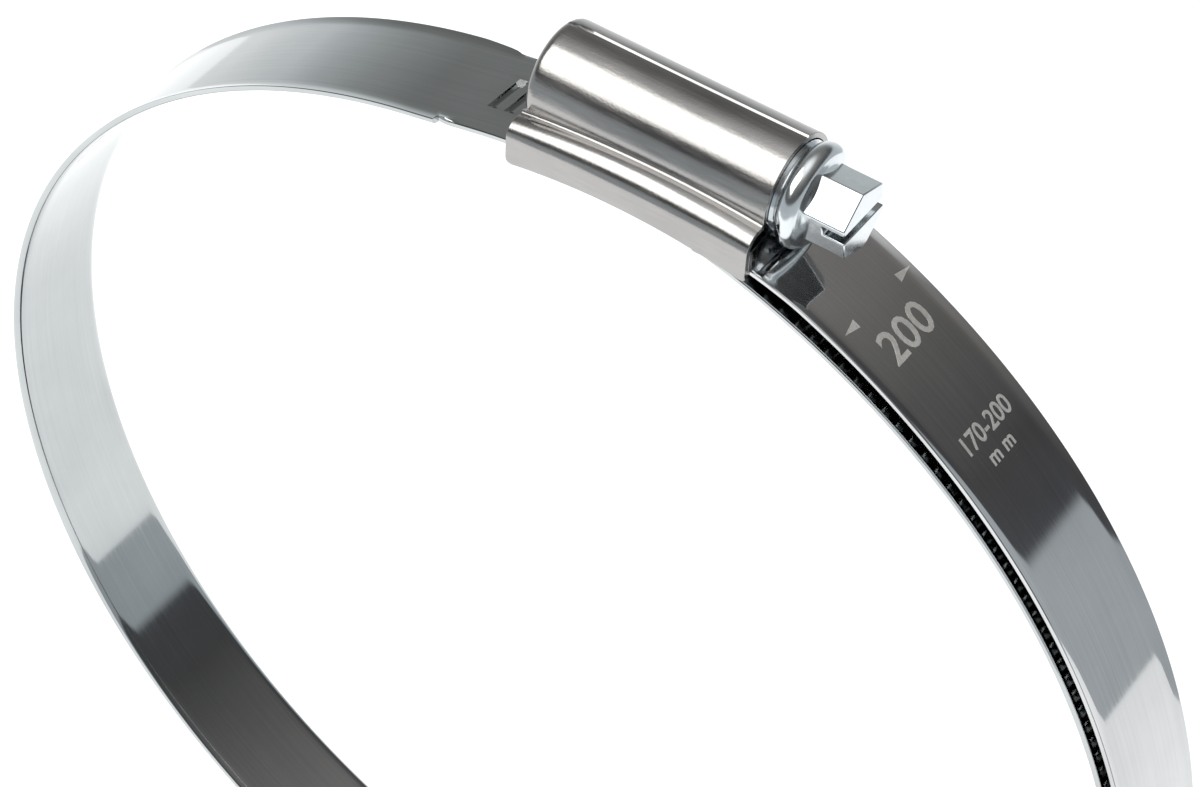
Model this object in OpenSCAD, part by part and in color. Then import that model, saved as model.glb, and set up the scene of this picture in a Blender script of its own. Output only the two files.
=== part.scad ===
// Worm-drive hose clamp, closed to the smallest size it is marked for.
// Frame: the origin is the centre of the bore, +Y runs along the bore, +Z is up through the
// point where the worm meshes with the band, and +X points to the head of the screw.
// Angles round the ring are counted from +Z towards +X.

/* [Ring] */
// Inside diameter of the closed clamp
inside_d = 170; // [130:1:230]
// Width of the band
band_w = 16; // [13:0.5:20]
// Thickness of the band
band_t = 0.8; // [0.6:0.05:1]
// Height of the rolled edges above the band's face
edge_rise = 0.45; // [0.2:0.05:0.5]
// Width of each rolled edge
edge_w = 3.8; // [2.5:0.1:4.5]

/* [Tail] */
// Height of the threaded strip above the bore
strip_rise = 1.8; // [1.2:0.1:2.2]
// Angle over which the plain band climbs to the threaded strip
ramp_angle = 9; // [6:0.5:9]
// Plain flat strip left of the housing, before the rolled edges begin
flat_lead = 8.3; // [7:0.1:12]
// Distance of the first groove from the housing's left end
first_groove = 3.9; // [3:0.1:5]
// Angle of the threaded end's tip
tip_angle = 95; // [80:1:105]
// Angle of the plain end, under the base band
plain_end_angle = 185; // [170:1:190]
// Radius of the tip's corners
tip_corner_r = 3; // [1:0.5:5]

/* [Thread] */
// Pitch of the worm
pitch = 2.4; // [2.2:0.05:3]
// Outer diameter of the worm
worm_d = 11.4; // [9:0.1:12]
// Depth of the worm's thread
thread_h = 1.1; // [0.9:0.05:1.4]
// Width of the thread's crest
crest_w = 0.6; // [0.5:0.05:0.8]
// Slope of the thread's flanks
flank_angle = 30; // [25:1:32]
// Depth to which the thread reaches into the band
mesh_depth = 0.45; // [0.35:0.01:0.5]
// Length of a groove across the band
groove_l = 5.4; // [5.2:0.1:7]
// Play between a flank of the thread and its groove
flank_gap = 0.15; // [0.1:0.01:0.2]
// Play between the thread's crest and the bottom of its groove
crest_gap = 0.1; // [0.05:0.01:0.15]

/* [Housing] */
// Length of the housing
housing_l = 32; // [28:0.5:38]
// Part of the housing that lies left of the mesh point
housing_left = 3; // [2.5:0.1:4.5]
// Thickness of the housing's sheet
sheet_t = 0.75; // [0.6:0.05:1]
// Thickness of the side walls, where the sheet is folded double
wall_t = 1.45; // [1.2:0.05:1.7]
// Play between the worm and the barrel
worm_gap = 0.2; // [0.15:0.05:0.4]
// Play between the band's edge and each side wall
side_gap = 0.3; // [0.2:0.05:0.5]
// Depth of the shoulders' crease below the worm's axis
crease_drop = 2.4; // [2:0.1:2.7]
// Height of the rounded shoulders above the crease
shoulder_rise = 0.7; // [0.3:0.1:0.8]
// Radius of the rounded shoulders
shoulder_r = 2.1; // [1.8:0.1:2.4]
// Radius of the side walls' curved lower edge
skirt_r = 63; // [55:1:80]
// Distance of that curve's highest point from the mesh point
skirt_top_x = 11.5; // [9:0.5:13]
// Width of the seam along the barrel
seam_w = 0.15; // [0.1:0.05:0.3]
// Angle of the seam behind the barrel's top
seam_angle = 12; // [0:1:30]
// Length of each clench tab across the band
tab_w = 3.4; // [2.5:0.1:4]
// Thickness of the clench tabs
tab_t = 0.85; // [0.7:0.05:0.9]

/* [Base band] */
// Play between the base band's inner end and the worm
plate_gap = 0.35; // [0.3:0.05:0.4]
// Distance of the base band's fold from the housing's right end, inside the housing
fold_lead = 1.6; // [1.2:0.1:2.5]
// Gap between the two band layers, on average
layer_gap = 0.8; // [0.7:0.1:1.4]
// Angle at which the base band ends, past the bottom
base_end_angle = 205; // [200:1:210]

/* [Screw] */
// Size of the hexagon across its flats
hex_af = 8; // [7:0.5:10]
// Length of the hexagon in front of the collar
hex_l = 5.3; // [4:0.1:7]
// Height of the collar's rim above the barrel
collar_step = 0; // [-0.5:0.05:0.2]
// Thickness of the collar
collar_t = 2.9; // [2:0.1:3.5]
// Width of the driver slot
slot_w = 1.3; // [1:0.1:1.6]
// Depth of the driver slot
slot_d = 2.8; // [2:0.1:3.5]
// Turn of the hexagon against the driver slot
hex_turn = 11.6; // [0:0.1:30]
// Diameter of the screw's tip, where it runs in the barrel's end wall
tip_d = 5.2; // [4.5:0.1:6]
// Radial play of the running fits
running_gap = 0.08; // [0.04:0.01:0.1]
// Diameter of the riveted button on the screw's tip
button_d = 7.2; // [6.5:0.1:8]
// Thickness of that button
button_t = 0.8; // [0.6:0.1:1.2]

/* [Hidden] */
$fn = 96;
slip = 0.15;      // smallest play between layers that slide over each other
end_play = 0.05;  // play of the collar and the button against the barrel
cut = 1;          // how far a cutting tool reaches past what it cuts

bore_r = inside_d / 2;
strip_r = bore_r + strip_rise;
strip_out_r = strip_r + band_t;
flat_w = band_w - 2 * edge_w;

housing_x0 = -housing_left;
housing_x1 = housing_l - housing_left;

// The worm's axis, and the barrel round it
worm_r = worm_d / 2;
root_r = worm_r - thread_h;
axis_z = strip_out_r - mesh_depth + worm_r;
barrel_in_r = worm_r + worm_gap;
barrel_out_r = barrel_in_r + sheet_t;
pitch_angle = pitch / (strip_out_r - mesh_depth / 2) * 180 / PI;
helix_angle = atan(pitch / (2 * PI * worm_r));

// The threaded strip's ends, as angles round the ring
strip_start = -(housing_left + flat_lead) / strip_r * 180 / PI;
groove_first = round(-(housing_left + first_groove) / strip_r * 180 / PI / pitch_angle);
groove_last = floor((tip_angle - tip_corner_r / strip_r * 180 / PI) / pitch_angle) - 1;
groove_top_w = crest_w + 2 * mesh_depth * tan(flank_angle) + 2 * flank_gap;
groove_depth = mesh_depth + crest_gap;
groove_bottom_w = groove_top_w - 2 * groove_depth * tan(flank_angle);
thread_root_w = crest_w + 2 * thread_h * tan(flank_angle);

// The climb from the bore to the strip is straight, and laps into both of them
ramp_start = strip_start - ramp_angle;
ramp_foot = bore_r * [sin(ramp_start), cos(ramp_start)];
ramp_head = strip_r * [sin(strip_start), cos(strip_start)];
ramp_slope = atan2(ramp_head[1] - ramp_foot[1], ramp_head[0] - ramp_foot[0]);
lap = 0.2;
ramp_inset = 0.05;

// The housing's cross-section
wall_in_y = band_w / 2 + side_gap;
wall_out_y = wall_in_y + wall_t;
crease_z = axis_z - crease_drop;
shoulder_y = wall_out_y - shoulder_r;
shoulder_z = crease_z + shoulder_rise - shoulder_r;
skirt_end_z = sqrt(pow(bore_r + end_play, 2) - pow(housing_x0, 2));
skirt_centre_z = skirt_end_z - sqrt(pow(skirt_r, 2) - pow(housing_x0 - skirt_top_x, 2));

// The base band's flat inner end, and its ring from the fold onwards
plate_in_z = strip_out_r - mesh_depth - plate_gap - band_t;
plate_x0 = sqrt(pow(strip_out_r, 2) - pow(plate_in_z - slip, 2));
tab_x0 = sqrt(pow(strip_out_r, 2) - pow(plate_in_z - tab_t - slip, 2));
fold_x = housing_x1 - fold_lead;
base_r = strip_out_r + layer_gap;
fold_angle = asin(fold_x / base_r);
fold_lap = 0.3;
base_centre_z = plate_in_z - base_r * cos(fold_angle);

// The screw along its axis
thread_margin = 0.2;
core_x0 = housing_x0 + sheet_t + thread_margin;
journal_l = 2;
journal_x0 = housing_x1 - journal_l;
collar_x0 = housing_x1 + end_play;
thrust_t = 0.4;
rim_x0 = collar_x0 + thrust_t;
rim_x1 = rim_x0 + collar_t;
hex_x1 = rim_x1 + hex_l;
collar_r = barrel_out_r + collar_step;
hex_r = hex_af / 2 / cos(30);
hex_chamfer = 0.45;
thread_turn0 = (core_x0 + thread_root_w / 2 + thread_margin) / pitch;
thread_turns = (journal_x0 - thread_root_w / 2 - thread_margin) / pitch - thread_turn0;
thread_steps = 24;

// Sweeps a profile, given as radius and place along the bore, from angle a0 to a1
module sweep(a0, a1) {
    rotate([90, 0, 0]) rotate([0, 0, 90 - a1])
        rotate_extrude(angle = a1 - a0, $fn = 180) children();
}

// The band's section with flat edges; r is the radius of its inner face
module flat_section(r) {
    translate([r, -band_w / 2]) square([band_t, band_w]);
}

// The band's section with both edges rolled outwards, drawn smaller all round by inset
module rolled_section(r, inset = 0) {
    half = band_w / 2 - inset;
    inner = [[edge_rise, -half], [0, -flat_w / 2], [0, flat_w / 2], [edge_rise, half]];
    outer = [for (i = [3:-1:0]) inner[i] + [band_t - 2 * inset, 0]];
    translate([r + inset, 0]) polygon(concat(inner, outer));
}

module along_x() {
    rotate([90, 0, 90]) children();
}

module turned_about_worm() {
    translate([0, 0, axis_z]) rotate([0, 90, 0]) rotate_extrude() children();
}

module groove(i) {
    top = groove_top_w / 2 + cut * tan(flank_angle);
    bottom = groove_bottom_w / 2;
    rotate([0, i * pitch_angle, 0]) translate([0, 0, strip_out_r]) rotate([0, 0, -helix_angle])
        rotate([90, 0, 0]) linear_extrude(groove_l, center = true)
            polygon([[-top, cut], [top, cut], [bottom, -groove_depth], [-bottom, -groove_depth]]);
}

module tip_corner(side) {
    rotate([0, tip_angle, 0])
        translate([-tip_corner_r, side * (band_w / 2 - tip_corner_r), strip_r - cut])
            linear_extrude(band_t + 2 * cut) difference() {
                translate([0, side > 0 ? 0 : -tip_corner_r - cut]) square(tip_corner_r + cut);
                circle(tip_corner_r);
            }
}

module tail_band() {
    color([0.62, 0.64, 0.65]) difference() {
        union() {
            sweep(-plain_end_angle, ramp_start) rolled_section(bore_r);
            translate([ramp_foot[0], 0, ramp_foot[1]]) rotate([0, -ramp_slope, 0])
                translate([-lap, 0, 0]) along_x() linear_extrude(norm(ramp_head - ramp_foot) + 2 * lap)
                    mirror([1, -1]) rolled_section(0, ramp_inset);
            sweep(strip_start, tip_angle) flat_section(strip_r);
        }
        for (i = [groove_first:groove_last]) groove(i);
        for (side = [-1, 1]) tip_corner(side);
    }
}

module base_band() {
    color([0.45, 0.45, 0.44]) union() {
        translate([plate_x0, ramp_inset - band_w / 2, plate_in_z])
            cube([fold_x + lap - plate_x0, band_w - 2 * ramp_inset, band_t]);
        translate([0, 0, base_centre_z])
            sweep(fold_angle - fold_lap, base_end_angle) rolled_section(base_r);
    }
}

module saddle_outline(y, top_z, round_r) {
    translate([-shoulder_y, 0]) square([2 * shoulder_y, top_z]);
    translate([-y, 0]) square([2 * y, shoulder_z]);
    for (side = [-1, 1]) translate([side * shoulder_y, shoulder_z]) circle(round_r);
}

module housing_section() {
    difference() {
        union() {
            translate([0, axis_z]) circle(barrel_out_r);
            saddle_outline(wall_out_y, crease_z, shoulder_r);
        }
        translate([0, axis_z]) circle(barrel_in_r);
        saddle_outline(wall_in_y, crease_z - sheet_t, shoulder_r - wall_t);
    }
}

module housing() {
    color([0.66, 0.63, 0.6]) difference() {
        union() {
            difference() {
                translate([housing_x0, 0, 0]) along_x() linear_extrude(housing_l) housing_section();
                translate([skirt_top_x, 0, skirt_centre_z]) rotate([90, 0, 0])
                    cylinder(r = skirt_r, h = 2 * (wall_out_y + cut), center = true, $fn = 180);
                translate([housing_x0 - cut, -wall_out_y - cut, 0])
                    cube([housing_l + 2 * cut, 2 * (wall_out_y + cut), skirt_centre_z]);
            }
            translate([housing_x0, 0, 0]) along_x() linear_extrude(sheet_t) intersection() {
                translate([0, axis_z]) circle(barrel_out_r);
                translate([-barrel_out_r, strip_out_r + slip]) square(3 * barrel_out_r);
            }
            for (side = [-1, 1]) translate([tab_x0, side * (wall_in_y + wall_t / 2 - tab_w / 2), 0])
                translate([0, -tab_w / 2, plate_in_z - tab_t]) cube([fold_x - tab_x0, tab_w, tab_t]);
        }
        translate([housing_x0 - cut, 0, axis_z]) rotate([0, 90, 0])
            cylinder(d = tip_d + 2 * running_gap, h = sheet_t + 2 * cut);
        translate([0, 0, axis_z]) rotate([-seam_angle, 0, 0])
            translate([housing_x0 + sheet_t, -seam_w / 2, barrel_in_r - sheet_t / 2])
                cube([housing_l, seam_w, 2 * sheet_t]);
    }
}

// One cross-section of the thread at a turn counted from the mesh; it fades out at both ends
function thread_fade(turn) = min(1, 0.02 + 2 * min(turn, thread_turns - turn));
function thread_point(turn, x, r) = let (a = 360 * (turn + thread_turn0) - 90)
    [pitch * (turn + thread_turn0) + x, r * cos(a), axis_z + r * sin(a)];
function thread_section(turn) = let (
    h = thread_h * thread_fade(turn),
    base = root_r - thread_margin,
    base_w = thread_root_w / 2 + thread_margin * tan(flank_angle),
    top_w = thread_root_w / 2 - h * tan(flank_angle)
) [
    thread_point(turn, -base_w, base), thread_point(turn, -top_w, root_r + h),
    thread_point(turn, top_w, root_r + h), thread_point(turn, base_w, base)
];

module thread() {
    count = ceil(thread_turns * thread_steps);
    points = [for (k = [0:count]) each thread_section(k * thread_turns / count)];
    sides = [for (k = [0:count - 1], i = [0:3]) let (a = 4 * k + i, b = 4 * k + (i + 1) % 4)
        each [[a, b, b + 4], [a, b + 4, a + 4]]];
    ends = [[3, 2, 1, 0], [for (i = [0:3]) 4 * count + i]];
    polyhedron(points = points, faces = concat(sides, ends));
}

module screw_profile() {
    rim_r = collar_t / 2;
    dome_t = 0.7;
    translate([0, housing_x0 - end_play - button_t]) square([button_d / 2, button_t]);
    translate([0, housing_x0 - end_play - cut / 2])
        square([tip_d / 2, core_x0 - housing_x0 + end_play + cut]);
    translate([0, core_x0]) square([root_r, journal_x0 - core_x0 + cut]);
    translate([0, journal_x0]) square([barrel_in_r - running_gap, collar_x0 - journal_x0 + cut / 2]);
    translate([0, collar_x0]) square([barrel_in_r + sheet_t / 2, thrust_t + cut / 2]);
    translate([0, rim_x0]) square([collar_r - rim_r, collar_t]);
    translate([collar_r - rim_r, rim_x0 + rim_r]) circle(rim_r);
    translate([0, rim_x1]) polygon([[0, 0], [collar_r - rim_r, 0], [hex_af / 2, dome_t], [0, dome_t]]);
}

module hexagon() {
    base_x = rim_x1 - cut / 2;
    difference() {
        intersection() {
            translate([base_x, 0, axis_z]) rotate([hex_turn, 0, 0]) rotate([0, 90, 0]) rotate([0, 0, 30])
                cylinder(r = hex_r, h = hex_x1 - base_x, $fn = 6);
            turned_about_worm() polygon([
                [0, base_x - cut], [hex_r + cut, base_x - cut], [hex_r + cut, hex_x1 - hex_chamfer],
                [hex_r, hex_x1 - hex_chamfer], [hex_af / 2, hex_x1], [0, hex_x1]
            ]);
        }
        translate([hex_x1 - slot_d, -hex_r - cut, axis_z - slot_w / 2])
            cube([slot_d + cut, 2 * (hex_r + cut), slot_w]);
    }
}

module worm_screw() {
    color([0.72, 0.75, 0.77]) union() {
        turned_about_worm() screw_profile();
        thread();
        hexagon();
    }
}

housing();
base_band();
tail_band();
worm_screw();
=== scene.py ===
"""Worm-drive hose clamp on a pale studio table.

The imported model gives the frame: the origin is the centre of the bore, +Y runs along the bore,
+Z is up through the mesh of worm and band, and +X points to the head of the screw. Sizes in the
dataclasses are millimetres and degrees; meshes are turned into metres as they are finished.
Angles round the ring are counted from +Z towards +X.
"""

import logging
import math
from dataclasses import dataclass, field
from enum import Enum
from typing import Callable

import bmesh
import bpy
from mathutils import Matrix, Quaternion, Vector

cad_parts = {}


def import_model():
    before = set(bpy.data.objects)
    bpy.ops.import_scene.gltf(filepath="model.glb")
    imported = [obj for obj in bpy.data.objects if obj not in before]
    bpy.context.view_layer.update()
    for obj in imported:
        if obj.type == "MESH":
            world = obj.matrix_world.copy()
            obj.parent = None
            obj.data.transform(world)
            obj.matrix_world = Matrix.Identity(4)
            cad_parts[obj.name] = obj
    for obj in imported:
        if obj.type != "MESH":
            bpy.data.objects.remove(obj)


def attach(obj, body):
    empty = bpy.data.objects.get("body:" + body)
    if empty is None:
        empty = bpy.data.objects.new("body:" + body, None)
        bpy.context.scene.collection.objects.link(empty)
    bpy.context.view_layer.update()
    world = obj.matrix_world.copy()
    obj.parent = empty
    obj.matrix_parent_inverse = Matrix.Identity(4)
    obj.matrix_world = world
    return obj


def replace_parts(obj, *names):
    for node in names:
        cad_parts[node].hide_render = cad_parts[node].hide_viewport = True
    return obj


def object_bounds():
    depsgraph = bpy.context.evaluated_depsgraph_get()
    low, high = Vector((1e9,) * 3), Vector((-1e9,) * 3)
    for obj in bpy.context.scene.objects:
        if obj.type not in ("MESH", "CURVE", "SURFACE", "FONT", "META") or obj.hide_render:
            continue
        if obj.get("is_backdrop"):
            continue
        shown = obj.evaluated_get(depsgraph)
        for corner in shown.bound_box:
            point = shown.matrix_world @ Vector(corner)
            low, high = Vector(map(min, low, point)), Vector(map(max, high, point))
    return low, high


LOG = logging.getLogger("hose_clamp")
MM = 0.001
Stop = tuple[float, tuple[float, float, float]]


class Body(Enum):
    """The rigid bodies that pieces ride on."""

    RING = "root"
    TAIL = "tail"
    SCREW = "screw"


class Mark(Enum):
    """The generic size marks on the outer layer."""

    LARGEST = "200"
    RANGE = "170-200"
    UNIT = "m m"


def smoothstep(x: float) -> float:
    """Returns a soft climb from 0 to 1 while x goes from 0 to 1."""
    x = min(1.0, max(0.0, x))
    return x * x * (3.0 - 2.0 * x)


def polar(angle: float, radius: float, y: float, centre_z: float = 0.0) -> Vector:
    """Places a point round the bore.

    Args:
        angle: Degrees from +Z towards +X.
        radius: Distance from the turning axis.
        y: Place along the bore.
        centre_z: Height of the turning axis.

    Returns:
        The point, in the units of the radius.
    """
    a = math.radians(angle)
    return Vector((radius * math.sin(a), y, centre_z + radius * math.cos(a)))


def angle_of(point: Vector, centre_z: float, lowest: float) -> float:
    """Reads a point's angle round the bore.

    Args:
        point: The point to read.
        centre_z: Height of the turning axis.
        lowest: The smallest angle that may be returned.

    Returns:
        Degrees from +Z towards +X, at least `lowest`.
    """
    angle = math.degrees(math.atan2(point.x, point.z - centre_z))
    while angle < lowest:
        angle += 360.0
    while angle >= lowest + 360.0:
        angle -= 360.0
    return angle


def finish_mesh(bm: bmesh.types.BMesh, name: str, sharp: float = 30.0) -> bpy.types.Object:
    """Turns a bmesh in millimetres into a smooth-shaded object in metres.

    Args:
        bm: The shape, which is used up.
        name: The object's name.
        sharp: Edges sharper than this many degrees stay crisp.

    Returns:
        The object, at the origin and linked to the scene.
    """
    bmesh.ops.recalc_face_normals(bm, faces=bm.faces[:])
    bmesh.ops.scale(bm, vec=(MM, MM, MM), verts=bm.verts[:])
    mesh = bpy.data.meshes.new(name)
    bm.to_mesh(mesh)
    bm.free()
    mesh.shade_smooth()
    mesh.set_sharp_from_angle(angle=math.radians(sharp))
    obj = bpy.data.objects.new(name, mesh)
    bpy.context.scene.collection.objects.link(obj)
    return obj


def verts_in(geom: list) -> list[bmesh.types.BMVert]:
    """Returns only the vertices of an operator's result."""
    return [item for item in geom if isinstance(item, bmesh.types.BMVert)]


def everything(bm: bmesh.types.BMesh) -> list:
    """Returns all of a bmesh's vertices, edges and faces."""
    return bm.verts[:] + bm.edges[:] + bm.faces[:]


def turning(angle: float, axis: str) -> Matrix:
    """Returns a turn of so many degrees about X, Y or Z."""
    return Matrix.Rotation(math.radians(angle), 3, axis)


def cap_open_ends(bm: bmesh.types.BMesh) -> None:
    """Closes every open end of a tube with one face."""
    bmesh.ops.holes_fill(bm, edges=[e for e in bm.edges if e.is_boundary], sides=0)


def turned(bm: bmesh.types.BMesh, profile: list[tuple[float, float]], axis_z: float, steps: int) -> None:
    """Turns a profile round the worm's axis into a closed shell.

    Args:
        bm: The bmesh that gets the shell.
        profile: Points (x, radius) along the axis, the first and last on it.
        axis_z: Height of the worm's axis.
        steps: Number of steps in the full turn.
    """
    verts = [bm.verts.new((x, 0.0, axis_z + r)) for x, r in profile]
    edges = [bm.edges.new(pair) for pair in zip(verts, verts[1:])]
    bmesh.ops.spin(bm, geom=verts + edges, cent=(0, 0, axis_z), axis=(1, 0, 0),
                   angle=math.tau, steps=steps, use_merge=True)
    bmesh.ops.remove_doubles(bm, verts=bm.verts[:], dist=1e-5)


@dataclass(frozen=True)
class Plating:
    """A plated steel finish: brushed along one direction, slightly cloudy, with fine scratches."""

    name: str
    light: tuple[float, float, float]
    dark: tuple[float, float, float]
    roughness: float
    roughness_swing: float
    streaks: tuple[float, float, float]
    streak_depth: float
    grain: float
    grain_depth: float
    along_band: bool = False

    def build(self) -> bpy.types.Material:
        """Makes the node material.

        Returns:
            The finished material.
        """
        mat = bpy.data.materials.new(self.name)
        mat.use_nodes = True
        nodes, links = mat.node_tree.nodes, mat.node_tree.links
        shader = nodes["Principled BSDF"]
        shader.inputs["Metallic"].default_value = 1.0
        coords = nodes.new("ShaderNodeTexCoord")
        source = coords.outputs["UV" if self.along_band else "Object"]

        def noise(scale: tuple[float, float, float], detail: float, rough: float) -> bpy.types.NodeSocket:
            """Returns the value of a stretched noise pattern."""
            mapping = nodes.new("ShaderNodeMapping")
            mapping.inputs["Scale"].default_value = scale
            links.new(source, mapping.inputs["Vector"])
            tex = nodes.new("ShaderNodeTexNoise")
            tex.inputs["Scale"].default_value = 1.0
            tex.inputs["Detail"].default_value = detail
            tex.inputs["Roughness"].default_value = rough
            links.new(mapping.outputs["Vector"], tex.inputs["Vector"])
            return tex.outputs["Fac"]

        def remap(value: bpy.types.NodeSocket, low: float, high: float, to_low: float,
                  to_high: float) -> bpy.types.NodeSocket:
            """Returns a value stretched from one range to another."""
            node = nodes.new("ShaderNodeMapRange")
            sockets = ("From Min", "From Max", "To Min", "To Max")
            for socket, number in zip(sockets, (low, high, to_low, to_high)):
                node.inputs[socket].default_value = number
            links.new(value, node.inputs["Value"])
            return node.outputs["Result"]

        streaks = noise(self.streaks, 3.0, 0.6)
        cloud = noise((45.0, 45.0, 45.0), 4.0, 0.55)
        grain = noise((self.grain, self.grain, self.grain), 2.0, 0.5)

        ramp = nodes.new("ShaderNodeValToRGB")
        ramp.color_ramp.elements[0].position, ramp.color_ramp.elements[1].position = 0.3, 0.7
        ramp.color_ramp.elements[0].color = (*self.dark, 1.0)
        ramp.color_ramp.elements[1].color = (*self.light, 1.0)
        mixed = nodes.new("ShaderNodeMath")
        mixed.operation = "MULTIPLY_ADD"
        mixed.inputs[1].default_value = 0.45
        links.new(streaks, mixed.inputs[0])
        links.new(remap(cloud, 0.3, 0.7, 0.1, 0.45), mixed.inputs[2])
        links.new(mixed.outputs["Value"], ramp.inputs["Fac"])
        links.new(ramp.outputs["Color"], shader.inputs["Base Color"])

        rough = nodes.new("ShaderNodeMath")
        rough.operation = "ADD"
        half = self.roughness_swing / 2
        links.new(remap(streaks, 0.3, 0.7, self.roughness - half, self.roughness + half), rough.inputs[0])
        links.new(remap(cloud, 0.35, 0.65, -half / 2, half / 2), rough.inputs[1])
        links.new(rough.outputs["Value"], shader.inputs["Roughness"])

        fine = nodes.new("ShaderNodeBump")
        fine.inputs["Strength"].default_value = 1.0
        fine.inputs["Distance"].default_value = self.grain_depth * MM
        links.new(grain, fine.inputs["Height"])
        lines = nodes.new("ShaderNodeBump")
        lines.inputs["Strength"].default_value = 1.0
        lines.inputs["Distance"].default_value = self.streak_depth * MM
        links.new(streaks, lines.inputs["Height"])
        links.new(fine.outputs["Normal"], lines.inputs["Normal"])
        links.new(lines.outputs["Normal"], shader.inputs["Normal"])
        return mat


BAND_PLATE = Plating("bright_band_plate", (0.51, 0.53, 0.535), (0.43, 0.45, 0.455), 0.07, 0.03,
                     (25.0, 2600.0, 1.0), 0.0004, 4000.0, 0.0002, along_band=True)
BASE_PLATE = Plating("marked_band_plate", (0.60, 0.61, 0.615), (0.49, 0.495, 0.50), 0.07, 0.03,
                     (25.0, 2600.0, 1.0), 0.0005, 4000.0, 0.0002, along_band=True)
HOUSING_PLATE = Plating("satin_housing_plate", (0.42, 0.41, 0.40), (0.32, 0.315, 0.31), 0.22, 0.10,
                        (220.0, 3200.0, 3200.0), 0.0020, 3600.0, 0.0090)
SCREW_PLATE = Plating("bluish_screw_plate", (0.76, 0.79, 0.81), (0.62, 0.66, 0.68), 0.17, 0.08,
                      (900.0, 900.0, 900.0), 0.0030, 5000.0, 0.0008)
ETCHED = Plating("etched_marks", (0.93, 0.92, 0.89), (0.80, 0.79, 0.76), 0.52, 0.12,
                 (3000.0, 3000.0, 3000.0), 0.0020, 6000.0, 0.0030)


@dataclass
class Strip:
    """The band's cross-section, drawn above the bore and shaped as it runs round."""

    width: float = 16.0
    thickness: float = 0.8
    edge_rise: float = 0.4
    flat_width: float = 13.4
    corner: float = 0.3
    columns: int = 28

    def section(self, bm: bmesh.types.BMesh, inner_z: float, x: float = 0.0) -> list[bmesh.types.BMEdge]:
        """Draws the closed outline with rounded corners.

        Args:
            bm: The bmesh that gets the outline.
            inner_z: Height of the inner face.
            x: Place along X.

        Returns:
            The outline's edges.
        """
        half = self.width / 2
        outer_z = inner_z + self.thickness
        corners = ((inner_z, -half), (inner_z, half), (outer_z, half), (outer_z, -half))
        face = bm.faces.new([bm.verts.new((x, y, z)) for z, y in corners])
        bmesh.ops.bevel(bm, geom=face.verts[:], offset=self.corner, offset_type="OFFSET", segments=3,
                        profile=0.5, affect="VERTICES", material=-1)
        bmesh.ops.delete(bm, geom=bm.faces[:], context="FACES_ONLY")
        wide = [e for e in bm.edges if abs(e.verts[0].co.y - e.verts[1].co.y) > self.width / 2]
        bmesh.ops.subdivide_edges(bm, edges=wide, cuts=self.columns - 1)
        return bm.edges[:]

    def rise(self, y: float, flat_half: float) -> float:
        """Height of a rolled edge.

        Args:
            y: Place across the band.
            flat_half: Half the width of the flat middle.

        Returns:
            How far the face stands above the flat middle.
        """
        share = max(0.0, abs(y) - flat_half) / (self.width / 2 - flat_half)
        return self.edge_rise * share**2

    def lay_texture(self, obj: bpy.types.Object, centre_z: float, lowest: float, radius: float) -> None:
        """Unrolls the band into a texture map in metres: along it, then across it.

        Args:
            obj: The band.
            centre_z: Height of the turning axis.
            lowest: The smallest angle on the band.
            radius: The band's radius.
        """
        mesh = obj.data
        layer = mesh.uv_layers.new(name="UVMap")
        for poly in mesh.polygons:
            middle = angle_of(poly.center / MM, centre_z, lowest)
            for loop in poly.loop_indices:
                co = mesh.vertices[mesh.loops[loop].vertex_index].co / MM
                angle = math.degrees(math.atan2(co.x, co.z - centre_z))
                angle += 360.0 * round((middle - angle) / 360.0)
                layer.data[loop].uv = (math.radians(angle) * radius * MM, co.y * MM)


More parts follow.
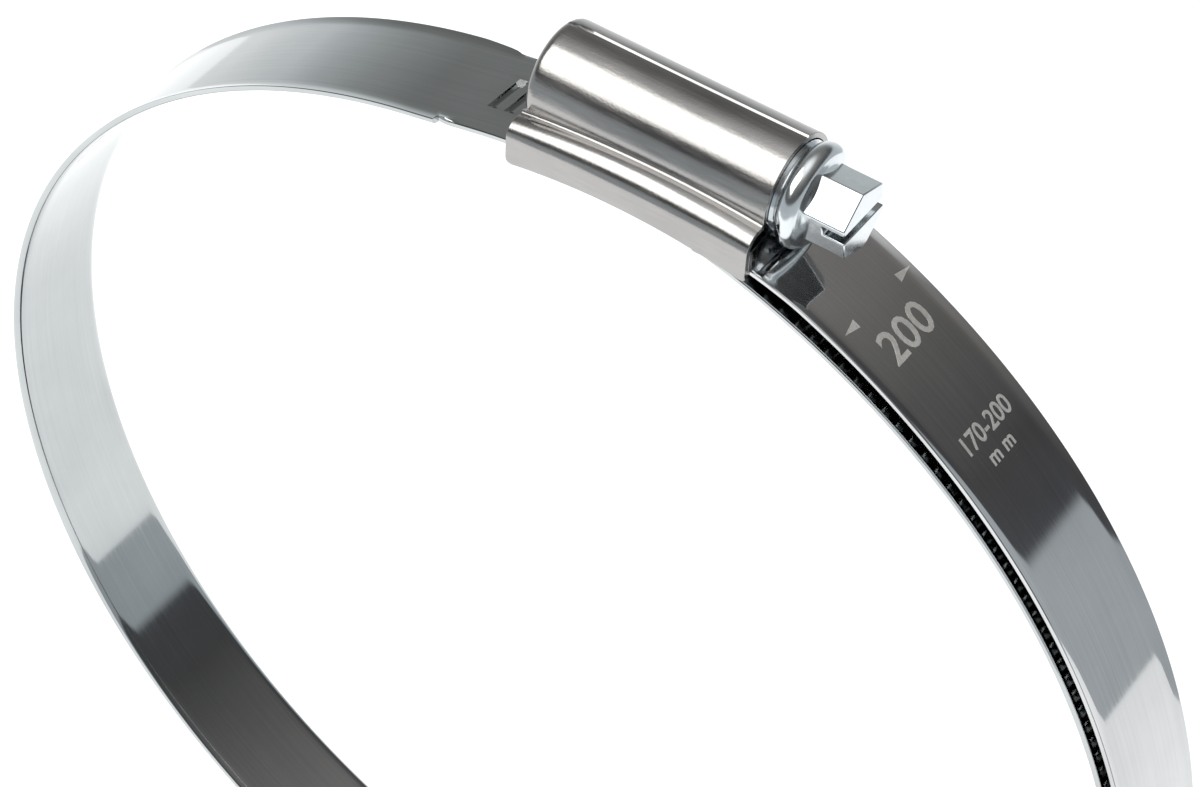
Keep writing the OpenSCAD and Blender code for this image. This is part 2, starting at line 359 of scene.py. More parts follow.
@dataclass
class GroovedBand:
    """The plain left half and the grooved end that runs under the worm and inside the base band."""

    strip: Strip = field(default_factory=Strip)
    bore_r: float = 85.0
    strip_rise: float = 1.8
    plain_end: float = -185.0
    tip: float = 95.0
    tip_corner: float = 3.0
    flat_start: float = -9.6
    climb_start: float = -12.0
    climb: float = 16.0
    roll_bow: float = 1.3
    roll_fade: float = 0.5
    step_in: float = 0.7
    pitch: float = 2.4
    mesh_depth: float = 0.45
    first_groove: float = -7.0
    last_groove: float = 91.0
    groove_depth: float = 0.55
    groove_floor: float = 0.78
    groove_mouth: float = 1.42
    groove_reach: float = 3.0
    groove_tilt: float = 0.067

    @property
    def strip_r(self) -> float:
        """Radius of the grooved strip's inner face."""
        return self.bore_r + self.strip_rise

    @property
    def pitch_angle(self) -> float:
        """Angle between two grooves."""
        return math.degrees(self.pitch / (self.strip_r + self.strip.thickness - self.mesh_depth / 2))

    def shape(self, co: Vector) -> Vector:
        """Moves a point of the plain swept strip to its place on the shaped band.

        Args:
            co: The point on a ring of constant radius.

        Returns:
            The point's final place.
        """
        angle, y = angle_of(co, 0.0, self.plain_end - 20.0), co.y
        depth = math.hypot(co.x, co.z) - self.bore_r
        outside = depth > self.strip.thickness * 0.9
        half, flat = self.strip.width / 2, self.strip.flat_width / 2
        past = angle - self.flat_start
        if abs(past) < self.pitch_angle / 4:
            past = math.copysign(0.04, past)
            angle = self.flat_start + past
        narrow = self.step_in * (smoothstep(past / 6.0 + 0.5) if y > 0.0 else float(past > 0.0))
        across = min(1.0, max(0.0, abs(y) - flat) / (half - flat))
        bow = self.roll_bow * math.sqrt(1.0 - across**2)
        lift = self.strip_rise * smoothstep((angle - self.climb_start) / self.climb)
        lift += self.strip.rise(y, flat) * (1.0 - smoothstep((past - bow) / self.roll_fade))
        radius = self.bore_r + depth + lift
        if self.first_groove < angle < self.last_groove and outside and abs(y) < 3.1:
            place = angle / self.pitch_angle
            offset = place - round(place)
            deep = abs(offset) < 0.25
            target = (self.groove_floor if deep else self.groove_mouth) / 2 / self.pitch
            angle += (math.copysign(target, offset) - offset) * self.pitch_angle
            if abs(y) > 2.5:
                y = math.copysign(self.groove_reach, y)
            elif deep:
                radius -= self.groove_depth
            angle += math.degrees(y * self.groove_tilt / self.strip_r)
        if abs(y) > 6.0:
            y -= math.copysign(narrow * (abs(y) - 6.0) / (half - 6.0), y)
        left = math.radians(self.tip - angle) * self.strip_r
        if left < self.tip_corner:
            inset = self.tip_corner - math.sqrt(max(0.0, self.tip_corner**2 - (self.tip_corner - left) ** 2))
            y *= (half - self.step_in - inset) / (half - self.step_in)
        return polar(angle, radius, y)

    def build(self) -> bpy.types.Object:
        """Sweeps the strip round the bore, then climbs, flattens and presses it.

        Returns:
            The finished piece.
        """
        step = self.pitch_angle / 4
        first = math.floor(self.plain_end / step) + 0.5
        steps = math.floor(self.tip / step) - math.floor(self.plain_end / step)
        bm = bmesh.new()
        edges = self.strip.section(bm, self.bore_r)
        bmesh.ops.rotate(bm, cent=(0, 0, 0), matrix=turning(first * step, "Y"), verts=bm.verts[:])
        bmesh.ops.spin(bm, geom=bm.verts[:] + edges, cent=(0, 0, 0), axis=(0, 1, 0),
                       angle=math.radians(steps * step), steps=steps)
        cap_open_ends(bm)
        for vert in bm.verts:
            vert.co = self.shape(vert.co)
        obj = finish_mesh(bm, "grooved_band", 22.0)
        self.strip.lay_texture(obj, 0.0, self.plain_end - 20.0, self.bore_r)
        obj.data.materials.append(BAND_PLATE.build())
        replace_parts(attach(obj, Body.TAIL.value), "tail_band")
        return obj


@dataclass
class MarkedBand:
    """The outer layer: its flat inner end in the housing, a soft bend, and the ring with its marks."""

    strip: Strip = field(default_factory=Strip)
    plate_z: float = 86.0
    plate_x: float = 17.5
    bend_r: float = 20.0
    ring_r: float = 88.4
    ring_z: float = 1.954
    end: float = 205.0
    mark_proud: float = 0.02

    @property
    def bend_angle(self) -> float:
        """Angle at which the soft bend runs into the ring."""
        rise = self.plate_z - self.bend_r - self.ring_z
        return math.degrees(math.acos(rise / (self.ring_r - self.bend_r)))

    @property
    def bend_x(self) -> float:
        """Place along X where the flat end starts to bend."""
        return (self.ring_r - self.bend_r) * math.sin(math.radians(self.bend_angle))

    def lift(self, angle: float, y: float) -> float:
        """Height of the rolled edges, which begin outside the housing."""
        return self.strip.rise(y, self.strip.flat_width / 2) * smoothstep((angle - 18.5) / 5.0)

    def build_band(self) -> bpy.types.Object:
        """Runs the strip out of the housing and round the ring.

        Returns:
            The finished piece.
        """
        bm = bmesh.new()
        geom: list = self.strip.section(bm, self.plate_z, self.plate_x)
        for _ in range(3):
            made = bmesh.ops.extrude_edge_only(bm, edges=geom)["geom"]
            bmesh.ops.translate(bm, vec=((self.bend_x - self.plate_x) / 3, 0, 0), verts=verts_in(made))
            geom = [e for e in made if isinstance(e, bmesh.types.BMEdge)
                    and abs(e.verts[0].co.x - e.verts[1].co.x) < 1e-4]
        for centre, sweep, steps in (
            ((self.bend_x, 0, self.plate_z - self.bend_r), self.bend_angle, 10),
            ((0, 0, self.ring_z), self.end - self.bend_angle, 280),
        ):
            rim = list({v for e in geom for v in e.verts})
            last = bmesh.ops.spin(bm, geom=rim + geom, cent=centre, axis=(0, 1, 0),
                                  angle=math.radians(sweep), steps=steps)["geom_last"]
            geom = [e for e in last if isinstance(e, bmesh.types.BMEdge)]
        cap_open_ends(bm)
        for vert in bm.verts:
            angle = angle_of(vert.co, self.ring_z, 0.0)
            vert.co += polar(angle, self.lift(angle, vert.co.y), 0.0)
        obj = finish_mesh(bm, "marked_band", 22.0)
        self.strip.lay_texture(obj, self.ring_z, 0.0, self.ring_r)
        obj.data.materials.append(BASE_PLATE.build())
        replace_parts(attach(obj, Body.RING.value), "base_band")
        return obj

    def wrap(self, bm: bmesh.types.BMesh, angle: float, y: float) -> None:
        """Cuts a flat figure fine, gives it a body and wraps it on the outer face.

        Args:
            bm: The figure in the XY plane: X runs across the band, Y towards the housing.
            angle: Where its middle stands round the ring.
            y: Where its middle stands across the band.
        """
        for k in range(-12, 13):
            for axis in ((1.0, 0.0, 0.0), (0.0, 1.0, 0.0)):
                bmesh.ops.bisect_plane(bm, geom=everything(bm), dist=1e-5,
                                       plane_co=Vector(axis) * k * 0.5, plane_no=axis)
        made = bmesh.ops.extrude_face_region(bm, geom=bm.faces[:])["geom"]
        bmesh.ops.translate(bm, vec=(0, 0, 2 * self.mark_proud), verts=verts_in(made))
        outer = self.ring_r + self.strip.thickness
        for vert in bm.verts:
            there = angle - math.degrees(vert.co.y / outer)
            across = y + vert.co.x
            radius = outer + self.lift(there, across) + vert.co.z - self.mark_proud
            vert.co = polar(there, radius, across, self.ring_z)

    def lettering(self, mark: Mark, height: float, width: float, weight: float) -> bmesh.types.BMesh:
        """Draws a size mark flat, centred on the origin.

        Args:
            mark: Which mark.
            height: Height of the figures.
            width: Width of the whole mark.
            weight: How much the strokes are thickened.

        Returns:
            The flat figure.
        """
        curve = bpy.data.curves.new("mark_outline", "FONT")
        curve.body, curve.size, curve.offset, curve.resolution_u = mark.value, 1.0, weight, 4
        holder = bpy.data.objects.new("mark_outline", curve)
        bpy.context.scene.collection.objects.link(holder)
        mesh = holder.to_mesh()
        bm = bmesh.new()
        bm.from_mesh(mesh)
        holder.to_mesh_clear()
        bpy.data.objects.remove(holder)
        bpy.data.curves.remove(curve)
        bmesh.ops.remove_doubles(bm, verts=bm.verts[:], dist=1e-4)
        xs, ys = [v.co.x for v in bm.verts], [v.co.y for v in bm.verts]
        low, high = Vector((min(xs), min(ys))), Vector((max(xs), max(ys)))
        middle, size = (low + high) / 2, high - low
        bmesh.ops.translate(bm, vec=(-middle.x, -middle.y, 0), verts=bm.verts[:])
        bmesh.ops.scale(bm, vec=(width / size.x, height / size.y, 1), verts=bm.verts[:])
        return bm

    def build_marks(self) -> bpy.types.Object:
        """Etches the two triangles, the largest size and the range on the outer face.

        Returns:
            The marks as one piece.
        """
        whole = bmesh.new()
        figures: list[tuple[bmesh.types.BMesh, float, float]] = [
            (self.lettering(Mark.LARGEST, 4.2, 8.4, 0.012), 29.8, 0.6),
            (self.lettering(Mark.RANGE, 2.5, 9.3, 0.015), 38.6, 0.6),
            (self.lettering(Mark.UNIT, 1.35, 4.6, 0.02), 40.8, 0.3),
        ]
        for side in (-1.0, 1.0):
            bm = bmesh.new()
            bmesh.ops.create_circle(bm, cap_ends=True, segments=3, radius=1.0)
            bmesh.ops.scale(bm, vec=(0.68, 1.6, 1.0), verts=bm.verts[:])
            bmesh.ops.rotate(bm, cent=(0, 0, 0), matrix=turning(-90.0 * side, "Z"), verts=bm.verts[:])
            figures.append((bm, 26.8, 0.8 + side * 5.2))
        for bm, angle, y in figures:
            self.wrap(bm, angle, y)
            part = bpy.data.meshes.new("mark_part")
            bm.to_mesh(part)
            bm.free()
            whole.from_mesh(part)
            bpy.data.meshes.remove(part)
        obj = finish_mesh(whole, "size_marks")
        obj.data.materials.append(ETCHED.build())
        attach(obj, Body.RING.value)
        return obj


@dataclass
class PressedHousing:
    """One sheet that makes the barrel, the two shoulders and the two side walls with their hems."""

    axis_z: float = 92.85
    x0: float = -3.0
    length: float = 32.0
    sheet: float = 0.7
    barrel_r: float = 6.65
    end_round: float = 1.0
    crease_r: float = 0.5
    shoulder_r: tuple[float, float, float] = (1.9, 2.5, 2.3)
    shoulder_top: tuple[float, float, float] = (91.4, 92.7, 92.1)
    wall_y: float = 9.75
    hem_gap: float = 0.06
    hem_height: float = 2.4
    skirt_r: float = 80.0
    skirt_top_x: float = 13.0
    skirt_centre_z: float = 7.1
    corner_r: float = 0.8
    seam_angle: float = 12.0
    seam_depth: float = 0.25
    tab_x0: float = 21.2
    tab_x1: float = 27.4
    tab_top: float = 86.0
    tab_t: float = 0.85
    tip_bore: float = 2.68
    end_wall_z: float = 87.75

    def skirt_z(self, x: float) -> float:
        """Height of the side walls' lower edge at x, with both of its corners rounded."""
        edge = max(0.0, self.corner_r - min(x - self.x0, self.x0 + self.length - x))
        corner = self.corner_r - math.sqrt(max(0.0, self.corner_r**2 - edge**2))
        return self.skirt_centre_z + math.sqrt(self.skirt_r**2 - (x - self.skirt_top_x) ** 2) + corner

    def along(self, ends: tuple[float, float, float], x: float) -> float:
        """Blends a size at the left end, the middle and the right end into its size at x."""
        t = (x - self.x0) / self.length
        left, middle, right = ends
        return left + (right - left) * t + (middle - (left + right) / 2) * 4.0 * t * (1.0 - t)

    def path(self, x: float) -> list[tuple[float, float]]:
        """Walks along the sheet's outer face, from the barrel's top to one hem.

        Args:
            x: Place along the barrel.

        Returns:
            Points (y, z) on the positive side, the first at the barrel's top.
        """
        points: list[tuple[float, float]] = []

        def arc(cy: float, cz: float, r: float, a0: float, a1: float, steps: int) -> None:
            """Adds an arc after the last point; angles are counted from +Z towards +Y."""
            for k in range(1 if points else 0, steps + 1):
                a = math.radians(a0 + (a1 - a0) * k / steps)
                points.append((cy + r * math.sin(a), cz + r * math.cos(a)))

        shoulder_r = self.along(self.shoulder_r, x)
        shoulder_y = self.wall_y - shoulder_r
        shoulder_z = self.along(self.shoulder_top, x) - shoulder_r
        far, near = self.barrel_r + self.crease_r, shoulder_r + self.crease_r
        span = Vector((shoulder_y, shoulder_z - self.axis_z))
        along = (far**2 - near**2 + span.length_squared) / (2 * span.length)
        aside = math.sqrt(far**2 - along**2)
        out = span.normalized()
        crease = Vector((0.0, self.axis_z)) + out * along + Vector((-out.y, out.x)) * aside
        leave = math.degrees(math.atan2(crease.x, crease.y - self.axis_z))
        join = math.degrees(math.atan2(crease.x - shoulder_y, crease.y - shoulder_z))
        arc(0.0, self.axis_z, self.barrel_r, 0.0, leave, 44)
        arc(crease.x, crease.y, self.crease_r, leave + 180.0, join + 180.0, 10)
        arc(shoulder_y, shoulder_z, shoulder_r, join, 90.0, 20)
        bottom = self.skirt_z(x)
        fold_r = self.sheet + self.hem_gap / 2
        for k in range(1, 5):
            points.append((self.wall_y, shoulder_z + (bottom + fold_r - shoulder_z) * k / 4))
        arc(self.wall_y - fold_r, bottom + fold_r, fold_r, 90.0, 270.0, 10)
        points.append((self.wall_y - 2 * fold_r, bottom + fold_r + self.hem_height * 0.5))
        points.append((self.wall_y - 2 * fold_r, bottom + fold_r + self.hem_height))
        return points

    def outline(self, x: float) -> list[tuple[float, float]]:
        """Returns the whole sheet's outline (y, z) at x, from hem to hem."""
        side = self.path(x)
        return [(-y, z) for y, z in reversed(side[1:])] + side

    def build_sheet(self, bm: bmesh.types.BMesh) -> None:
        """Draws the sheet's outer face, runs it along the barrel and shapes it on the way.

        Args:
            bm: The bmesh that gets the sheet.
        """
        walk = self.outline(self.x0)
        verts = [bm.verts.new((self.x0, y, z)) for y, z in walk]
        number = {(round(v.co.y, 4), round(v.co.z, 4)): k for k, v in enumerate(verts)}
        geom = [bm.edges.new(pair) for pair in zip(verts, verts[1:])]
        ends = (0.12, 0.35, 0.7, 1.1, 1.6)
        middle = [2.0 + (self.length - 4.0) * k / 28 for k in range(29)]
        at = 0.0
        for stop in [*ends, *middle, *(self.length - end for end in reversed(ends)), self.length]:
            made = bmesh.ops.extrude_edge_only(bm, edges=geom)["geom"]
            fresh = set(verts_in(made))
            bmesh.ops.translate(bm, vec=(stop - at, 0, 0), verts=list(fresh))
            geom = [e for e in made if isinstance(e, bmesh.types.BMEdge) and fresh.issuperset(e.verts)]
            at = stop
        bmesh.ops.recalc_face_normals(bm, faces=bm.faces[:])
        probe = max(bm.faces, key=lambda f: f.calc_center_median().z)
        if probe.normal.z < 0:
            bmesh.ops.reverse_faces(bm, faces=bm.faces[:])
        stations: dict[float, list[tuple[float, float]]] = {}
        for vert in bm.verts:
            x = vert.co.x
            spot = round(x, 3)
            if spot not in stations:
                stations[spot] = self.outline(x)
            y, z = stations[spot][number[(round(vert.co.y, 4), round(vert.co.z, 4))]]
            vert.co.y, vert.co.z = y, z
            off = math.hypot(y, z - self.axis_z)
            if off > self.barrel_r + 0.01:
                continue
            radius = self.barrel_r
            reach = x - self.x0
            if reach < self.end_round:
                depth = self.end_round - reach
                rounded = radius - self.end_round + math.sqrt(self.end_round**2 - depth**2)
                radius += (rounded - radius) * smoothstep((z - self.axis_z + 3.2) / 2.5)
            if abs(math.degrees(math.atan2(y, z - self.axis_z)) - self.seam_angle) < 1.0:
                radius -= self.seam_depth
            vert.co.y = y * radius / self.barrel_r
            vert.co.z = self.axis_z + (z - self.axis_z) * radius / self.barrel_r

    def build_end_wall(self, bm: bmesh.types.BMesh) -> None:
        """Closes the barrel's left end round the screw's tip, clear of the strip below it.

        Args:
            bm: The bmesh that gets the wall.
        """
        rim = self.barrel_r - self.end_round + 0.05
        made = bmesh.ops.create_circle(bm, cap_ends=False, segments=64, radius=rim)["verts"]
        edges = list({e for v in made for e in v.link_edges})
        inner = bmesh.ops.extrude_edge_only(bm, edges=edges)["geom"]
        ring = verts_in(inner)
        bmesh.ops.scale(bm, vec=(self.tip_bore / rim,) * 3, verts=ring)
        disc = made + ring
        faces = list({f for v in disc for f in v.link_faces})
        thick = bmesh.ops.extrude_face_region(bm, geom=faces)["geom"]
        top = verts_in(thick)
        bmesh.ops.translate(bm, vec=(0, 0, self.sheet), verts=top)
        bmesh.ops.rotate(bm, cent=(0, 0, 0), matrix=turning(90.0, "Y"), verts=disc + top)
        bmesh.ops.translate(bm, vec=(self.x0, 0, self.axis_z), verts=disc + top)
        bmesh.ops.bisect_plane(bm, geom=everything(bm), dist=1e-5, plane_co=(0, 0, self.end_wall_z),
                               plane_no=(0, 0, 1), clear_inner=True)
        cap_open_ends(bm)

    def build_tabs(self, bm: bmesh.types.BMesh) -> None:
        """Adds the two inward tabs that clench the outer layer.

        Args:
            bm: The bmesh that gets the tabs.
        """
        for side in (-1.0, 1.0):
            made = bmesh.ops.create_cube(bm, size=1.0)["verts"]
            bmesh.ops.scale(bm, vec=(self.tab_x1 - self.tab_x0, 2.9, self.tab_t - 0.05), verts=made)
            bmesh.ops.translate(bm, vec=((self.tab_x0 + self.tab_x1) / 2, side * (self.wall_y - 2.85),
                                         self.tab_top - self.tab_t / 2), verts=made)
            edges = list({e for v in made for e in v.link_edges})
            bmesh.ops.bevel(bm, geom=edges, offset=0.2, offset_type="OFFSET", segments=2, profile=0.5,
                            affect="EDGES", material=-1)

    def build(self) -> bpy.types.Object:
        """Makes the housing.

        Returns:
            The finished piece.
        """
        sheet = bmesh.new()
        self.build_sheet(sheet)
        bmesh.ops.solidify(sheet, geom=sheet.faces[:], thickness=self.sheet)
        extras = bmesh.new()
        self.build_end_wall(extras)
        self.build_tabs(extras)
        bmesh.ops.recalc_face_normals(extras, faces=extras.faces[:])
        part = bpy.data.meshes.new("housing_part")
        extras.to_mesh(part)
        extras.free()
        sheet.from_mesh(part)
        bpy.data.meshes.remove(part)
        obj = finish_mesh(sheet, "pressed_housing", 40.0)
        bevel = obj.modifiers.new("rounded_rims", "BEVEL")
        bevel.width, bevel.segments = 0.2 * MM, 3
        bevel.limit_method, bevel.angle_limit = "ANGLE", math.radians(50)
        bevel.harden_normals = True
        obj.data.materials.append(HOUSING_PLATE.build())
        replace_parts(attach(obj, Body.RING.value), "housing")
        return obj


@dataclass
class WormScrew:
    """The screw: hexagon with a driver slot, rounded collar, journal, thread and riveted tip."""

    axis_z: float = 92.85
    housing_x0: float = -3.0
    housing_x1: float = 29.0
    worm_r: float = 5.7
    thread_h: float = 1.1
    crest_w: float = 0.6
    flank: float = 30.0
    pitch: float = 2.4
    journal_l: float = 2.0
    journal_r: float = 5.82
    thrust_r: float = 5.3
    thrust_t: float = 0.4
    collar_r: float = 6.35
    collar_t: float = 2.9
    dome_t: float = 0.7
    hex_af: float = 8.0
    hex_l: float = 5.3
    hex_sunk: float = 0.6
    hex_turn: float = 11.6
    slot_w: float = 1.3
    slot_d: float = 2.8
    tip_r: float = 2.6
    button_r: float = 3.6
    button_t: float = 0.8
    play: float = 0.05

    def build_body(self, bm: bmesh.types.BMesh) -> None:
        """Turns the button, core, journal and collar.

        Args:
            bm: The bmesh that gets the shell.
        """
        core_r = self.worm_r - self.thread_h
        core_x0 = self.housing_x0 + 0.95
        journal_x0 = self.housing_x1 - self.journal_l
        collar_x0 = self.housing_x1 + self.play
        rim_x0 = collar_x0 + self.thrust_t
        rim_x1 = rim_x0 + self.collar_t
        button_x0 = self.housing_x0 - self.play - self.button_t
        rim_r = self.collar_t / 2
        button_x1 = self.housing_x0 - self.play
        profile = [
            (button_x0, 0.0), (button_x0, self.button_r - 0.5), (button_x0 + 0.12, self.button_r - 0.15),
            (button_x0 + 0.4, self.button_r), (button_x1, self.button_r), (button_x1, self.tip_r),
            (core_x0, self.tip_r), (core_x0, core_r - 0.2), (core_x0 + 0.2, core_r), (journal_x0, core_r),
            (journal_x0, self.journal_r - 0.2), (journal_x0 + 0.2, self.journal_r),
            (collar_x0, self.journal_r), (collar_x0, self.thrust_r), (rim_x0 + 0.1, self.thrust_r)]
        rim_y = self.collar_r - rim_r
        for k in range(4, 29):
            a = math.radians(-90.0 + 180.0 * k / 32)
            profile.append((rim_x0 + rim_r + rim_r * math.sin(a), rim_y + rim_r * math.cos(a)))
        dome_x = rim_x1 + self.dome_t
        profile += [(rim_x1 - 0.02, rim_y - 0.15), (rim_x1 + 0.16, rim_y - 0.55),
                    (dome_x, self.hex_af / 2 - 0.5), (dome_x, 0.0)]
        turned(bm, profile, self.axis_z, 128)

    def build_thread(self, bm: bmesh.types.BMesh) -> None:
        """Winds the thread's flanks and crest round the core.

        Args:
            bm: The bmesh that gets the shell.
        """
        core_r = self.worm_r - self.thread_h
        tangent = math.tan(math.radians(self.flank))
        base_w = self.crest_w / 2 + (self.thread_h + 0.2) * tangent
        x0 = self.housing_x0 + 0.95 + self.crest_w / 2 + self.thread_h * tangent + 0.2
        x1 = self.housing_x1 - self.journal_l - self.crest_w / 2 - self.thread_h * tangent - 0.2
        turns = (x1 - x0) / self.pitch
        corners = ((x0 - base_w, core_r - 0.2), (x0 - self.crest_w / 2, self.worm_r),
                   (x0 + self.crest_w / 2, self.worm_r), (x0 + base_w, core_r - 0.2))
        face = bm.faces.new([bm.verts.new((x, 0.0, self.axis_z - r)) for x, r in corners])
        bmesh.ops.rotate(bm, cent=(0, 0, self.axis_z), verts=face.verts[:],
                         matrix=Matrix.Rotation(math.tau * x0 / self.pitch, 3, "X"))
        edges, verts = face.edges[:], face.verts[:]
        bmesh.ops.delete(bm, geom=[face], context="FACES_ONLY")
        steps = math.ceil(turns * 40)
        bmesh.ops.spin(bm, geom=verts + edges, cent=(0, 0, self.axis_z), axis=(1, 0, 0),
                       dvec=(turns * self.pitch / steps, 0, 0), angle=math.tau * turns, steps=steps)
        cap_open_ends(bm)

    def build_hexagon(self, bm: bmesh.types.BMesh) -> None:
        """Raises the hexagon, with the slot left between its two halves.

        Args:
            bm: The bmesh that gets the shell.
        """
        x0 = self.housing_x1 + self.play + self.thrust_t + self.collar_t - self.hex_sunk
        floor = self.hex_l + self.hex_sunk - self.slot_d
        corner_r = self.hex_af / 2 / math.cos(math.radians(30))
        bmesh.ops.create_circle(bm, cap_ends=True, segments=6, radius=corner_r)
        bmesh.ops.rotate(bm, cent=(0, 0, 0), matrix=turning(90.0 + self.hex_turn, "Z"), verts=bm.verts[:])
        for edge in (-self.slot_w / 2, self.slot_w / 2):
            bmesh.ops.bisect_plane(bm, geom=everything(bm), dist=1e-5, plane_co=(edge, 0, 0),
                                   plane_no=(1, 0, 0))
        made = bmesh.ops.extrude_face_region(bm, geom=bm.faces[:])["geom"]
        bmesh.ops.translate(bm, vec=(0, 0, floor), verts=verts_in(made))
        for side in (-1.0, 1.0):
            tops = [f for f in bm.faces if f.calc_center_median().z > floor - 1e-4 and abs(f.normal.z) > 0.9]
            lobe = [f for f in tops if side * f.calc_center_median().x > self.slot_w / 2]
            made = bmesh.ops.extrude_face_region(bm, geom=lobe)["geom"]
            bmesh.ops.translate(bm, vec=(0, 0, self.slot_d), verts=verts_in(made))
            bmesh.ops.delete(bm, geom=[f for f in lobe if f.is_valid], context="FACES_ONLY")
        bmesh.ops.remove_doubles(bm, verts=bm.verts[:], dist=1e-5)
        bmesh.ops.recalc_face_normals(bm, faces=bm.faces[:])
        bmesh.ops.dissolve_limit(bm, angle_limit=math.radians(1), verts=bm.verts[:], edges=bm.edges[:])
        sharp = [e for e in bm.edges if e.calc_face_angle(0.0) > math.radians(35)]
        bmesh.ops.bevel(bm, geom=sharp, offset=0.18, offset_type="OFFSET", segments=3, profile=0.5,
                        affect="EDGES", material=-1)
        bmesh.ops.rotate(bm, cent=(0, 0, 0), matrix=turning(90.0, "Y"), verts=bm.verts[:])
        bmesh.ops.translate(bm, vec=(x0, 0, self.axis_z), verts=bm.verts[:])

    def build(self) -> bpy.types.Object:
        """Makes the screw from its three shells.

        Returns:
            The finished piece.
        """
        whole = bmesh.new()
        for maker in (self.build_body, self.build_thread, self.build_hexagon):
            bm = bmesh.new()
            maker(bm)
            bmesh.ops.recalc_face_normals(bm, faces=bm.faces[:])
            part = bpy.data.meshes.new("screw_part")
            bm.to_mesh(part)
            bm.free()
            whole.from_mesh(part)
            bpy.data.meshes.remove(part)
        obj = finish_mesh(whole, "slotted_worm_screw", 50.0)
        even = obj.modifiers.new("even_flats", "WEIGHTED_NORMAL")
        even.keep_sharp, even.weight = True, 90
        obj.data.materials.append(SCREW_PLATE.build())
        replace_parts(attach(obj, Body.SCREW.value), "worm_screw")
        return obj


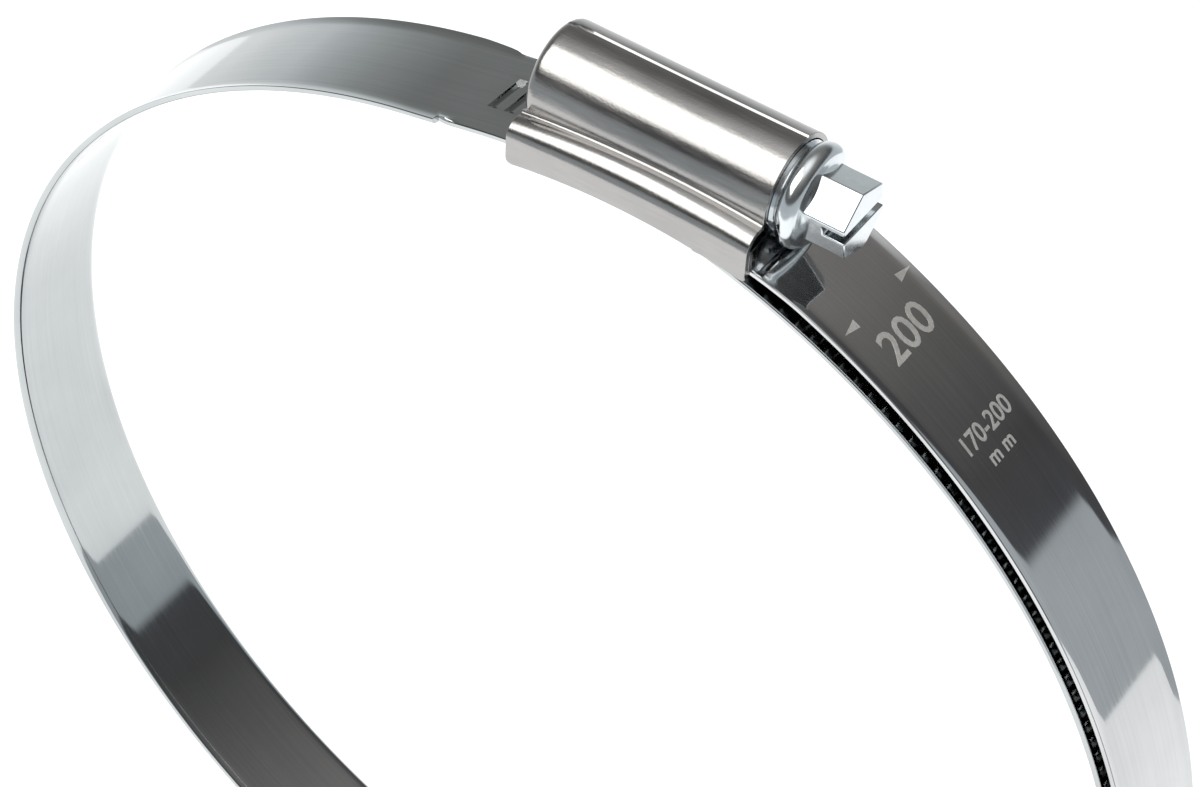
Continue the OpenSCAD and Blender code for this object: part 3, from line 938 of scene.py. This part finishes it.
@dataclass
class Studio:
    """Pale table, soft overhead light, darker walls in the reflections, and the camera."""

    camera_at: tuple[float, float, float] = (0.1559, -0.2411, 0.3459)
    aim: tuple[float, float, float] = (0.0054, 0.0, 0.0451)
    roll: float = 3.55
    lens: float = 101.9
    table_half: float = 0.42
    light_at: tuple[float, float, float] = (-0.34, -0.52, 0.92)
    light_size: tuple[float, float] = (0.9, 0.8)
    light_power: float = 7.5
    room_light: float = 1.1
    pale_side: tuple[float, float, float] = (-0.8, 0.6, 0.0)
    dark_wall: tuple[Stop, ...] = (
        (-0.08, (0.54, 0.58, 0.60)), (0.14, (0.50, 0.54, 0.56)), (0.17, (0.09, 0.092, 0.10)),
        (0.35, (0.085, 0.083, 0.085)), (0.60, (0.17, 0.165, 0.16)), (0.82, (0.30, 0.29, 0.28)),
        (0.93, (0.9, 0.9, 0.9)), (1.0, (1.3, 1.3, 1.3)))
    pale_wall: tuple[Stop, ...] = (
        (-0.25, (1.02, 1.03, 1.04)), (0.0, (0.84, 0.87, 0.88)), (0.12, (0.62, 0.65, 0.655)),
        (0.25, (0.42, 0.435, 0.43)), (0.4, (0.29, 0.295, 0.29)), (0.75, (0.21, 0.205, 0.20)),
        (0.93, (0.8, 0.8, 0.8)), (1.0, (1.3, 1.3, 1.3)))

    def build_table(self, floor_z: float) -> None:
        """Lays the pale table under the clamp.

        Args:
            floor_z: Height of the table's top.
        """
        bm = bmesh.new()
        bmesh.ops.create_grid(bm, x_segments=2, y_segments=2, size=self.table_half)
        mesh = bpy.data.meshes.new("table")
        bm.to_mesh(mesh)
        bm.free()
        table = bpy.data.objects.new("table", mesh)
        table.location.z = floor_z
        bpy.context.scene.collection.objects.link(table)
        mat = bpy.data.materials.new("pale_table")
        mat.use_nodes = True
        shader = mat.node_tree.nodes["Principled BSDF"]
        shader.inputs["Base Color"].default_value = (0.93, 0.94, 0.95, 1.0)
        shader.inputs["Roughness"].default_value = 0.9
        shader.inputs["Specular IOR Level"].default_value = 0.1
        table.data.materials.append(mat)
        table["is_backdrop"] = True

    def build_world(self) -> None:
        """Makes the room that the plating mirrors: dark on most sides, pale beyond the band's left half."""
        world = bpy.data.worlds.new("studio")
        bpy.context.scene.world = world
        world.use_nodes = True
        nodes, links = world.node_tree.nodes, world.node_tree.links
        nodes.clear()
        coords = nodes.new("ShaderNodeTexCoord")
        split = nodes.new("ShaderNodeSeparateXYZ")
        links.new(coords.outputs["Generated"], split.inputs["Vector"])
        height = nodes.new("ShaderNodeMapRange")
        height.inputs["From Min"].default_value = -1.0
        links.new(split.outputs["Z"], height.inputs["Value"])

        def wall(stops: tuple[Stop, ...]) -> bpy.types.NodeSocket:
            """Returns a wall's colour by height, from stops of (height from -1 to 1, colour)."""
            ramp = nodes.new("ShaderNodeValToRGB")
            while len(ramp.color_ramp.elements) < len(stops):
                ramp.color_ramp.elements.new(1.0)
            for element, (place, colour) in zip(ramp.color_ramp.elements, stops):
                element.position, element.color = (place + 1.0) / 2.0, (*colour, 1.0)
            links.new(height.outputs["Result"], ramp.inputs["Fac"])
            return ramp.outputs["Color"]

        toward = nodes.new("ShaderNodeVectorMath")
        toward.operation = "DOT_PRODUCT"
        toward.inputs[1].default_value = self.pale_side
        links.new(coords.outputs["Generated"], toward.inputs[0])
        share = nodes.new("ShaderNodeMapRange")
        share.inputs["From Min"].default_value, share.inputs["From Max"].default_value = 0.35, 0.85
        links.new(toward.outputs["Value"], share.inputs["Value"])
        mixed = nodes.new("ShaderNodeMixRGB")
        links.new(share.outputs["Result"], mixed.inputs["Fac"])
        links.new(wall(self.dark_wall), mixed.inputs["Color1"])
        links.new(wall(self.pale_wall), mixed.inputs["Color2"])
        room = nodes.new("ShaderNodeBackground")
        links.new(mixed.outputs["Color"], room.inputs["Color"])
        plain = nodes.new("ShaderNodeBackground")
        plain.inputs["Color"].default_value = (1.0, 1.0, 1.0, 1.0)
        plain.inputs["Strength"].default_value = self.room_light
        path = nodes.new("ShaderNodeLightPath")
        shown = nodes.new("ShaderNodeMixShader")
        links.new(path.outputs["Is Glossy Ray"], shown.inputs["Fac"])
        links.new(plain.outputs["Background"], shown.inputs[1])
        links.new(room.outputs["Background"], shown.inputs[2])
        out = nodes.new("ShaderNodeOutputWorld")
        links.new(shown.outputs["Shader"], out.inputs["Surface"])

    def build_lights(self) -> None:
        """Hangs the soft light over the table."""
        lamp = bpy.data.lights.new("overhead", "AREA")
        lamp.shape, lamp.size, lamp.size_y, lamp.energy = "RECTANGLE", *self.light_size, self.light_power
        lamp.color = (1.0, 0.99, 0.97)
        holder = bpy.data.objects.new("overhead", lamp)
        holder.location = self.light_at
        holder.rotation_mode = "QUATERNION"
        holder.rotation_quaternion = (Vector((0, 0, 0.05)) - Vector(self.light_at)).to_track_quat("-Z", "Y")
        bpy.context.scene.collection.objects.link(holder)

    def build_camera(self) -> None:
        """Sets the camera above the screw's side, turned a little about its line of sight."""
        camera = bpy.data.cameras.new("camera")
        camera.lens, camera.sensor_width = self.lens, 36.0
        camera.clip_start, camera.clip_end = 0.01, 50.0
        holder = bpy.data.objects.new("camera", camera)
        holder.location = self.camera_at
        holder.rotation_mode = "QUATERNION"
        look = (Vector(self.aim) - Vector(self.camera_at)).to_track_quat("-Z", "Y")
        holder.rotation_quaternion = look @ Quaternion((0, 0, 1), math.radians(self.roll))
        bpy.context.scene.collection.objects.link(holder)
        bpy.context.scene.camera = holder

    def build(self, floor_z: float) -> None:
        """Makes the whole studio.

        Args:
            floor_z: Height of the table's top.
        """
        self.build_table(floor_z)
        self.build_world()
        self.build_lights()
        self.build_camera()
        bpy.context.scene.view_settings.view_transform = "Standard"


def main() -> None:
    """Builds the clamp and its studio in order."""
    logging.basicConfig(level=logging.INFO, format="%(message)s")
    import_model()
    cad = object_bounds()
    band = MarkedBand()
    makers: list[Callable[[], bpy.types.Object]] = [
        GroovedBand().build, band.build_band, band.build_marks, PressedHousing().build, WormScrew().build,
    ]
    for make in makers:
        piece = make()
        LOG.info("%s: %d faces", piece.name, len(piece.data.polygons))
    Studio().build(cad[0].z)


if __name__ == "__main__":
    main()
